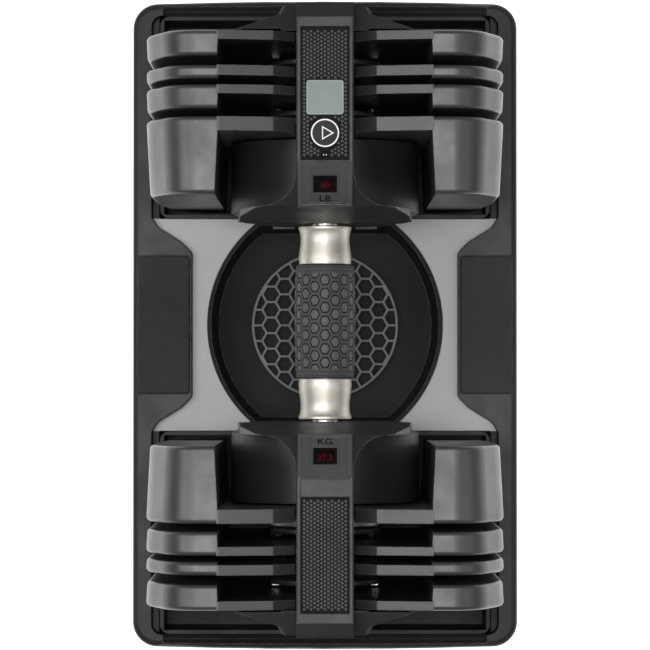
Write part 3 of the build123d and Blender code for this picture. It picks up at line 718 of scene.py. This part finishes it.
def unit_labels():
    """Dark unit letters between each weight window and the handle."""
    for head, side in SIDES.items():
        name = "unit_label_" + head
        label = lettering(name, head.upper(), LABEL_SIZE, INK_DARK, "dumbbell")
        label.rotation_euler = (side * math.radians(45), 0, 0)
        label.location = (0, side * LABEL_Y, LABEL_Y + WINDOW_FACE_RISE)


def window_frames():
    """Black frame round each weight window, on the sloping face."""
    for head, side in SIDES.items():

        def build(bm):
            outlines = [rectangle(-half, side * y0, half, side * y1) for half, y0, y1 in WINDOW_FRAME]
            prism(bm, outlines, -0.15 * MM, 0.45 * MM)
            for vertex in bm.verts:
                vertex.co.z += abs(vertex.co.y) + WINDOW_FACE_RISE

        piece = mesh_piece("window_frame_" + head, build, [INK_DARK], "dumbbell")
        bevelled(piece, 0.12 * MM)


def lcd_border():
    """Fine pale line round the screen."""
    low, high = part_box("lcd_lens")

    def build(bm):
        outlines = inset_rectangles(low, high, (0.35 * MM, 0.8 * MM))
        prism(bm, outlines, high.z - 0.2 * MM, high.z + 0.03 * MM)

    border = mesh_piece("lcd_border", build, [INK_SILVER], "dumbbell")
    bevelled(border, 0.05 * MM)


def drum_numbers():
    """Red numbers round each drum; the one at the top shows in the window."""
    for head, side in SIDES.items():
        for index, pounds in enumerate(WEIGHTS_LB):
            text = pounds if head == "lb" else f"{float(pounds) * KG_PER_LB:.1f}"
            name = f"number_{head}_{index:02d}"
            digits = lettering(name, text, NUMBER_SIZE, INK_RED, "rotor")
            turn = 2 * math.pi * index / len(WEIGHTS_LB)
            for vertex in digits.data.vertices:
                x, y, z = vertex.co
                angle = turn + x / DRUM_RADIUS
                radius = DRUM_RADIUS + DRUM_GAP + z
                vertex.co = (radius * math.sin(angle), side * NUMBER_Y + y, AXIS_Z + radius * math.cos(angle))


def bowl_clips():
    """Thin clips set into the wall of the bowl, beside the collars."""

    def build(bm):
        for side_x in (1, -1):
            for side_y in (1, -1):
                x0, x1 = sorted(side_x * x for x in CLIP_X)
                y0, y1 = sorted(side_y * y for y in CLIP_Y)
                prism(bm, [rectangle(x0, y0, x1, y1)], *CLIP_Z)

    clips = mesh_piece("bowl_clips", build, [MATERIALS["grid_grey"]], "base")
    bevelled(clips, 0.3 * MM)


# Studio


LIGHT_TARGET = (0, 0, 0.1)
# Name, place, size and power
LIGHTS = (
    ("overhead", (-0.10, 0.0, 2.5), (0.50, 1.1), 28),
    ("key", (-1.3, 0.1, 1.9), (0.6, 1.3), 17),
    ("fill", (1.4, -0.2, 1.7), (0.5, 1.3), 6),
)
CAMERA_PLACE = (0.0, -0.032, 2.15)
CAMERA_TARGET = (0, 0, 0.05)


def area_light(name, place, size, power):
    """Rectangular light aimed at the middle of the object."""
    data = bpy.data.lights.new(name, "AREA")
    data.shape = "RECTANGLE"
    data.size, data.size_y = size
    data.energy = power
    light = bpy.data.objects.new(name, data)
    bpy.context.scene.collection.objects.link(light)
    light.location = place
    light.rotation_euler = (Vector(LIGHT_TARGET) - Vector(place)).to_track_quat("-Z", "Y").to_euler()


def studio():
    """Even white surroundings, three soft lights and a pale floor."""
    world = bpy.data.worlds.new("studio")
    world.use_nodes = True
    background = world.node_tree.nodes["Background"]
    background.inputs["Color"].default_value = (1.0, 1.0, 1.0, 1.0)
    background.inputs["Strength"].default_value = 0.34
    bpy.context.scene.world = world
    for light in LIGHTS:
        area_light(*light)
    bpy.ops.mesh.primitive_plane_add(size=8.0, location=(0, 0, 0))
    floor = bpy.context.object
    floor.name = "floor"
    g = Graph("floor_white")
    g.into("Base Color", g.blend(g.noise(3.0, 2.0), (0.93, 0.93, 0.93), (0.97, 0.97, 0.97)))
    g.set(Roughness=0.8, Emission_Color=(1.0, 1.0, 1.0, 1.0), Emission_Strength=0.85)
    floor.data.materials.append(g.material)


def camera():
    """Long lens above the object, looking almost straight down."""
    data = bpy.data.cameras.new("camera")
    data.lens = 180.0
    data.sensor_width = 36.0
    data.clip_end = 20.0
    view = bpy.data.objects.new("camera", data)
    bpy.context.scene.collection.objects.link(view)
    view.location = CAMERA_PLACE
    view.rotation_euler = (Vector(CAMERA_TARGET) - view.location).to_track_quat("-Z", "Y").to_euler()
    bpy.context.scene.camera = view


bpy.context.scene.view_settings.view_transform = "Standard"
paint_nodes()
grip()
panel_dots()
start_marks()
indicator_marks()
unit_labels()
window_frames()
lcd_border()
drum_numbers()
bowl_clips()
studio()
camera()
